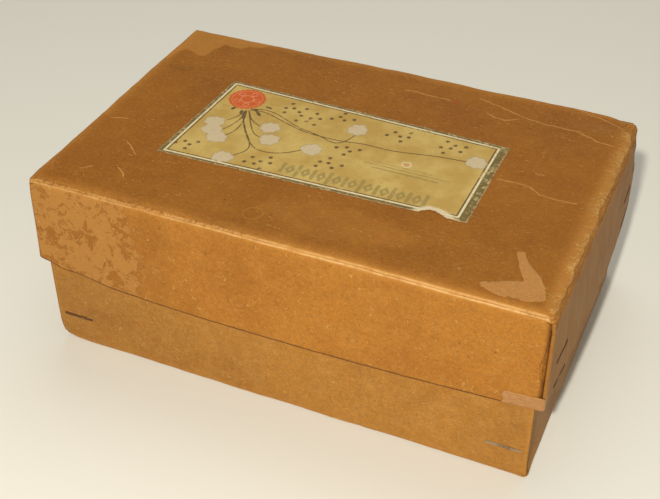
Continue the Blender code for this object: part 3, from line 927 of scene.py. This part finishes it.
def make_lining():
    """The cleaner liner inside, never handled as much as the outside."""
    p = Pattern("board_inner_liner")
    fibre = p.noise(1.5, 4.0, 0.7, at=p.stretched(0.4, 1.0, 1.0))
    grain = p.noise(0.5, 2.0, 0.6)
    p.colour = p.mix(p.ramp(p.noise(38, 3.0, 0.55), 0.3, 0.7), LINING_DARK, LINING_PALE)
    p.colour = p.shade(p.colour, p.add(0.80, p.add(p.times(fibre, 0.25), p.times(grain, 0.15))))
    p.coat(p.near(p.cells(6), 0.05, 0.09), KRAFT_SOOT_AND_SHADE, 0.5)
    return p.finish(0.72, p.bump(p.add(fibre, grain), 0.1, 0.7), specular=0.3)


# ---- pasted paper


def paper_piece(name, outline, step, thickness, height_at, material, masks_at, distance=to_polygon):
    """A thin closed sheet over the outline: a fine grid whose border is drawn onto the edge."""
    low, high = outline.min(axis=0) - 2 * step, outline.max(axis=0) + 2 * step
    grid_x, grid_y = np.meshgrid(np.arange(low[0], high[0], step), np.arange(low[1], high[1], step))
    flat = np.column_stack([grid_x.ravel(), grid_y.ravel()])
    away = distance(flat, outline)
    nudge = 0.02
    shifts = ((nudge, 0), (0, nudge))
    slope = np.column_stack([distance(flat + shift, outline) - away for shift in shifts]) / nudge
    flat = np.where((np.abs(away) < 0.75 * step)[:, None], flat - slope * away[:, None], flat)
    quads = grid_quads(*grid_x.shape)
    quads = quads[(away < 0.75 * step)[quads].all(axis=1)]
    used, index = np.unique(quads, return_inverse=True)
    flat = flat[used]
    points = np.column_stack([flat, height_at(flat)])
    piece = new_mesh_object(name, points, index.reshape(-1, 4).tolist(), [material], masks_at(flat))
    thicken(piece, thickness, even=False)
    return piece


def label_distance(points, outline):
    """Signed distance to the label's worn outline, with the torn lower corner taken out."""
    spots = on_plane(points)
    edge = to_polygon(points, outline) + 0.22 * rough_noise(spots, 3, 211, 3)
    return np.maximum(edge, -(to_polygon(points, TEAR_CUT) + 0.5 * rough_noise(spots, 2.2, 223, 3)))


def paper_height(flat):
    return TOP + panel_wave(flat) + 0.10


def petals(points, centre, radius, count, depth, turn=0.0):
    """Signed distance to a scalloped disc."""
    away = points - centre
    angle = np.arctan2(away[:, 1], away[:, 0]) + turn
    lobes = np.abs(np.cos(count * angle / 2))
    return np.linalg.norm(away, axis=1) - radius * (1 - depth + depth * lobes)


def dot_cluster(points, centre, index):
    """Signed distance to a scatter of small stars, laid out by the golden angle."""
    stars = []
    for i in range(5 + index % 3):
        angle, reach = GOLDEN_ANGLE * i + index, 0.6 + 2.3 * math.sqrt(i)
        spot = centre + np.array([math.cos(angle) * 1.25, math.sin(angle)]) * reach
        stars.append(petals(points, spot, 1.25, 5, 0.55, turn=i))
    return np.minimum.reduce(stars)


def frieze(points):
    """A plain ornament: lozenges between upright bars with rounded feet, all along one band."""
    run = FRIEZE_END - FRIEZE_START
    count = 9
    shapes = []
    for i in range(count):
        away = np.abs(points - FRIEZE_START - run * (i + 0.5) / count)
        lozenge = away[:, 0] / 0.72 + away[:, 1] / 1.15
        shapes.append(np.maximum(lozenge - 3.5, 1.1 - lozenge) * 0.6)
    for i in range(count + 1):
        centre = FRIEZE_START + run * i / count
        reach = np.array([0.0, 4.2 if i % 2 else 3.2])
        shapes.append(to_segment(points, centre - reach, centre + reach) - 0.95)
    return np.minimum.reduce(shapes)


def label_masks(points):
    """Signed distances, in millimetres, to everything printed on the label."""
    border = to_polygon(points, WHITE_CORNERS)
    line = np.minimum(np.abs(to_polygon(points, INNER_CORNERS)) - 0.34, np.abs(border - 0.5) - 0.22)
    brown = [np.minimum.reduce([to_path(points, rounded_path(stem)) for stem in STEMS]) - 0.30]
    brown += [dot_cluster(points, centre, i) for i, centre in enumerate(DOT_CLUSTERS)]
    for tip in LEAVES:
        root = SEAL + (tip - SEAL) * 0.74
        for t in (0.2, 0.5, 0.8):
            size = 1.05 - 1.1 * abs(t - 0.45)
            brown.append(np.linalg.norm(points - root - (tip - root) * t, axis=1) - size)
    white = []
    for i, centre in enumerate(BLOSSOMS):
        white.append(petals(points, centre, 3.3, 7, 0.1, turn=i))
        for k in range(7):
            angle = 0.7 * i + 2 * math.pi * k / 7
            shift = np.array([1.12 * math.cos(angle), math.sin(angle)]) * 3.0
            white.append(petals(points, centre + shift, 1.75 + 0.30 * math.sin(2.3 * k + i), 4, 0.08, turn=k))
    white = np.minimum.reduce(white)
    radius = np.linalg.norm(points - SEAL, axis=1)
    rings = [np.abs(radius - 0.82 * SEAL_RADIUS) - 0.16, np.abs(radius - 0.34 * SEAL_RADIUS) - 0.2]
    for i in range(5):
        angle = 2 * math.pi * i / 5
        at = SEAL + 0.56 * SEAL_RADIUS * np.array([math.cos(angle), math.sin(angle)])
        rings.append(np.abs(petals(points, at, 0.17 * SEAL_RADIUS, 2, 0.3, angle)) - 0.18)
    rules = [
        to_segment(points, RULE_START + before, RULE_END + after) - half
        for before, after, half in (
            ((0, 0), (0, 0), 0.30),
            ((5, -2.6), (-5, -2.6), 0.45),
            ((3, 2.2), (-9, 2.2), 0.22),
        )
    ]
    fields = {
        "olive": -border,
        "rim": np.abs(border + 0.2) - 0.48,
        "line": np.minimum.reduce([line, *brown]),
        "white": white,
        "outline": np.abs(white - 0.35) - 0.20,
        "red": petals(points, SEAL, SEAL_RADIUS, 22, 0.06),
        "rings": np.minimum.reduce(rings),
        "faded": np.minimum.reduce([frieze(points), *rules]),
        "edge": label_distance(points, LABEL_CORNERS),
        "tear": to_polygon(points, TEAR_CUT),
        "scuff": to_polygon(points, SCUFF),
    }
    return {"label_" + key: np.clip(value, -NEVER, NEVER) for key, value in fields.items()}


def make_label_print():
    p = Pattern("label_print")
    ragged = p.noise(1.3, 4.0, 0.75)
    fibre = p.noise(0.45, 3.0, 0.7)
    soft = p.noise(16, 3.0, 0.6)
    worn = p.ramp(p.add(p.noise(2.6, 5.0, 0.8), p.times(soft, 0.25)), 0.66, 0.78)
    wobble = p.times(p.add(ragged, -0.5), 0.35)

    def mottled(ink, low, amount):
        return p.shade(ink, p.add(low, p.times(ragged, amount)))

    def ink(name, tint, strength, bite=1.0):
        reach = p.add(p.mask("label_" + name), p.times(wobble, bite))
        p.coat(p.ramp(reach, 0.14, -0.10), tint, strength)

    ground = p.mix(p.ramp(soft, 0.35, 0.70), LABEL_CREAM, LABEL_PALE)
    p.colour = p.shade(ground, p.add(0.84, p.add(p.times(fibre, 0.16), p.times(ragged, 0.14))))
    keep = p.ramp(worn, 0.0, 1.0, 1.0, 0.35)
    ink("faded", INK_FADED, p.times(keep, 0.66))
    ink("line", INK_BROWN, p.times(keep, 0.88))
    ink("white", mottled(INK_WHITE, 0.80, 0.30), 0.92)
    ink("outline", INK_GREY, p.times(keep, 0.72), 0.5)
    ink("red", mottled(INK_RED, 0.70, 0.55), 0.94)
    ink("rings", (0.78, 0.36, 0.20), 0.75, 0.4)
    rubbed = p.ramp(p.noise(3.2, 5.0, 0.85), 0.52, 0.60, 1.0, 0.20)
    ink("olive", (0.500, 0.390, 0.190), 0.75)
    ink("olive", mottled(INK_OLIVE, 0.75, 0.6), p.times(rubbed, 0.95))
    ink("rim", (0.68, 0.60, 0.40), p.times(rubbed, 0.95), 0.5)

    # Bared white fibre along the tear and in the scuff, browned edges everywhere
    fibres = p.ramp(p.shaken(p.mask("label_tear"), ragged, 2.4), 4.2, 2.0)
    fibres = p.times(fibres, p.ramp(fibre, 0.25, 0.60, 0.60, 1.0))
    p.coat(fibres, PAPER_FIBRE)
    scuff = p.shaken(p.mask("label_scuff"), ragged, 1.8)
    p.coat(p.ramp(scuff, 0.9, 0.5), PAPER_FIBRE, 0.8)
    p.coat(p.ramp(scuff, 0.1, -0.2), KRAFT_LIGHT, 0.85)
    rim = p.ramp(p.shaken(p.mask("label_edge"), ragged, 1.2), -0.75, -0.15)
    p.coat(rim, p.mix(p.ramp(fibre, 0.4, 0.6), KRAFT_DARK, PAPER_FIBRE), 0.55)
    p.coat(p.ramp(p.noise(1.1, 2.0, 0.6), 0.64, 0.72), INK_BROWN, 0.35)
    p.coat(p.ramp(p.noise(8, 4.0, 0.7), 0.58, 0.76, 0.0, 0.35), (0.42, 0.24, 0.07))
    relief = p.add(p.times(fibre, 0.6), p.times(fibres, 0.9))
    normal = p.bump(relief, 0.07, 0.7, p.bump(p.noise(9, 2.0, 0.5), 0.6, 0.3))
    return p.finish(p.add(0.46, p.times(ragged, 0.16)), normal, specular=0.30)


def make_label(material):
    def height_at(flat):
        lifted = 0.35 * np.exp(-np.maximum(-label_distance(flat, LABEL_CORNERS), 0) / 1.1)
        return paper_height(flat) + lifted * hump(np.linalg.norm(flat - (57, -34), axis=1), 10)

    piece = paper_piece(
        "label_sheet", LABEL_CORNERS, 0.42, 0.09, height_at, material, label_masks, label_distance
    )
    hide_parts("label")
    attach(piece, "lid")


def make_gummed_paper(name, tint, *direction):
    """Brown gummed paper with slanting fibre streaks and rubbed pale borders."""
    p = Pattern(name)
    streaks = p.noise(1.1, 4.0, 0.75, at=p.stretched(*direction))
    ragged = p.noise(1.6, 4.0, 0.75)
    grain = p.ramp(p.noise(0.4, 2.0, 0.6), 0.3, 0.7)
    p.colour = p.shade(tint, p.add(0.56, p.add(p.times(streaks, 0.6), p.times(grain, 0.28))))
    p.coat(p.ramp(streaks, 0.58, 0.66), KRAFT_BARE, 0.35)
    p.coat(p.ramp(p.shaken(p.mask("edge_mm"), ragged, 1.0), -0.55, -0.1), KRAFT_LIGHT, 0.35)
    p.coat(p.ramp(p.noise(4, 4.0, 0.7), 0.56, 0.70), KRAFT_LIGHT, 0.35)
    return p.finish(p.add(0.40, p.times(ragged, 0.2)), p.bump(p.add(streaks, grain), 0.10, 0.8), 0.5)


def make_remnant(material):
    def worn(points, outline):
        return to_polygon(points, outline) + 0.45 * rough_noise(on_plane(points), 3.5, 311, 3)

    def masks_at(flat):
        return {"edge_mm": worn(flat, REMNANT)}

    piece = paper_piece("tape_remnant_sheet", REMNANT, 0.5, 0.06, paper_height, material, masks_at, worn)
    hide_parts("tape_remnant")
    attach(piece, "lid")


def lid_skirt_point(x, z):
    """A point on the lid's near long wall."""
    below = (TOP - z - FOLD_RADIUS) / (LID_DEPTH - FOLD_RADIUS)
    return -LID_V - LONG_SWELL * (1 - (x / LID_U) ** 2) * below


def make_corner_tape(material):
    """A strip round the lower corner of the lid, from its long wall onto its end wall."""
    lift, radius, step = 0.14, 0.9, 0.6
    corner_x, corner_y = LID_U + lift, -LID_V - lift
    turns = [math.pi / 2 * i / 5 for i in range(6)]
    path = [(x, None) for x in np.arange(TAPE_START_X, corner_x - radius, step)]
    path += [(corner_x - radius + radius * math.sin(a), corner_y + radius * (1 - math.cos(a))) for a in turns]
    path += [(corner_x, y) for y in np.arange(corner_y + radius + step, TAPE_END_Y, step)]
    grid, edge = [], []
    for i, (x, y) in enumerate(path):
        end = min(i, len(path) - 1 - i) * step
        for t in np.linspace(0, 1, TAPE_ROWS):
            z = TAPE_LOW.z + (TAPE_HIGH.z - TAPE_LOW.z) * t + 0.25 * math.sin(i * 0.55) * (t - 0.5)
            slip = 0.5 * math.sin(9 * t + 2) * (i < 3)
            wall = lid_skirt_point(min(x, LID_U - radius), z) - lift
            if y is not None:
                wall = y + (wall + LID_V + lift) * (y - corner_y < radius + NEAR)
            grid.append((x - slip, wall, z))
            edge.append(-min(end, 6.8 * min(t, 1 - t)))
    points = np.array(grid)
    faces = face_list(points, grid_quads(len(path), TAPE_ROWS), (100, -60, 50))
    piece = new_mesh_object("corner_tape_strip", points, faces, [material], {"edge_mm": edge})
    thicken(piece, 0.12)
    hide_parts("corner_tape")
    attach(piece, "lid")


# ---- stitching wire


def make_wire(name, rusted):
    """Flat stitching wire gone dull, with brown rust in patches: the more rusted, the darker."""
    p = Pattern(name)
    grit = p.noise(0.5, 3.0, 0.7)
    rust = p.ramp(p.add(p.noise(5.0, 3.0, 0.6), p.add(rusted, p.times(grit, 0.12))), 0.50, 0.69)
    p.colour = p.mix(rust, WIRE_STEEL, p.shade(WIRE_RUST, p.add(0.6, p.times(grit, 0.9))))
    return p.finish(p.add(0.32, p.times(rust, 0.55)), p.bump(grit, 0.05, 0.6), 0.25,
                    metallic=p.ramp(rust, 0.0, 1.0, 0.9, 0.0))


def dress_stitches(rusty, bright):
    """Only the stitch low on the near right has kept its shine."""
    for name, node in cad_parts.items():
        if "staple" in name:
            low, high = node_box(name)
            shiny = low.x > 0 and high.y < 0 and high.z < LID_LOW.z
            for slot in node.material_slots:
                slot.material = bright if shiny else rusty


# ---- surroundings, in metres

FLOOR_REACH = 3000  # millimetres
FLOOR_STEPS = 24
CAMERA_PLACE = (0.18394, -0.43652, 0.40332)
CAMERA_AZIMUTH, CAMERA_ELEVATION, CAMERA_ROLL = (math.radians(angle) for angle in (23.7128, 37.7793, -0.2278))
SENSOR_WIDTH, FOCAL_LENGTH = 36.0, 64.588
WORLD_COLOUR, WORLD_STRENGTH = (1.0, 0.950, 0.84), 0.26

# Lights: place, target, width, power and colour
LIGHTS = {
    "key": ((0.168, -0.797, 0.746), (0, 0, 0.05), 0.045, 10.8, (1.0, 0.955, 0.87)),
    "overhead": ((-0.1, 1.3, 2.0), (-0.1, 1.0, 0), 2.2, 18.0, (1.0, 0.98, 0.93)),
}


def make_floor():
    p = Pattern("studio_floor")
    p.colour = p.shade(FLOOR_CREAM, p.add(0.985, p.times(p.noise(400, 2.0, 0.5), 0.03)))
    stations = np.linspace(-FLOOR_REACH, FLOOR_REACH, FLOOR_STEPS + 1)
    spots = [(x, y, 0.0) for y in stations for x in stations]
    faces = grid_quads(FLOOR_STEPS + 1, FLOOR_STEPS + 1).tolist()
    floor = new_mesh_object("studio_floor", np.array(spots), faces, [p.finish(0.75, specular=0.2)])


def make_light(name, place, target, size, power, colour):
    lamp = bpy.data.lights.new(name, "AREA")
    lamp.shape, lamp.size = "DISK", size
    lamp.energy, lamp.color = power, colour
    light = bpy.data.objects.new(name, lamp)
    light.location = place
    light.rotation_euler = (Vector(target) - Vector(place)).to_track_quat("-Z", "Y").to_euler()
    bpy.context.scene.collection.objects.link(light)


def make_world():
    world = bpy.data.worlds.new("studio")
    world.use_nodes = True
    background = world.node_tree.nodes["Background"]
    background.inputs["Color"].default_value = (*WORLD_COLOUR, 1.0)
    background.inputs["Strength"].default_value = WORLD_STRENGTH
    bpy.context.scene.world = world


def make_camera():
    level = math.cos(CAMERA_ELEVATION)
    back = Vector(
        (math.sin(CAMERA_AZIMUTH) * level, -math.cos(CAMERA_AZIMUTH) * level, math.sin(CAMERA_ELEVATION))
    )
    right = Vector((0, 0, 1)).cross(back).normalized()
    turn = Matrix((right, back.cross(right), back)).transposed() @ Matrix.Rotation(CAMERA_ROLL, 3, "Z")
    lens = bpy.data.cameras.new("camera")
    lens.sensor_width, lens.lens = SENSOR_WIDTH, FOCAL_LENGTH
    lens.clip_start = 0.01
    camera = bpy.data.objects.new("camera", lens)
    camera.matrix_world = Matrix.Translation(CAMERA_PLACE) @ turn.to_4x4()
    bpy.context.scene.collection.objects.link(camera)
    bpy.context.scene.camera = camera


# ---- the whole


def make_lid(edge, lining):
    lid = make_tray("lid_shell", tray_quarter(LID_U, LID_V, LID_DEPTH, 2.0), False, shape_lid, TOP - 45,
                    (make_kraft("kraft_lid_walls", "lid", LID_TINT), edge, lining),
                    make_kraft("kraft_lid_panel", "lid", LID_TINT, on_panel=True))
    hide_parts("lid_tray")
    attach(lid, "lid")


def make_base(edge, lining):
    base = make_tray("base_shell", tray_quarter(BASE_V, BASE_U, BASE_HEIGHT, 2.6), True, shape_base, 50,
                     (make_kraft("kraft_base", "base", BASE_TINT), edge, lining))
    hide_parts("base_tray")
    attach(base, "base")


def main():
    bpy.context.scene.view_settings.view_transform = "Standard"
    edge, lining = make_board_edge(), make_lining()
    make_base(edge, lining)
    make_lid(edge, lining)
    make_label(make_label_print())
    make_remnant(make_gummed_paper("gummed_remnant", REMNANT_TAN, 0.5, 1.0, 1.0))
    make_corner_tape(make_gummed_paper("gummed_tape_paper", TAPE_TAN, 0.35, 0.35, 1.0))
    dress_stitches(make_wire("aged_stitching_wire", 0.18), make_wire("bright_stitching_wire", -0.04))
    make_floor()
    make_world()
    for name, settings in LIGHTS.items():
        make_light(name, *settings)
    make_camera()


main()
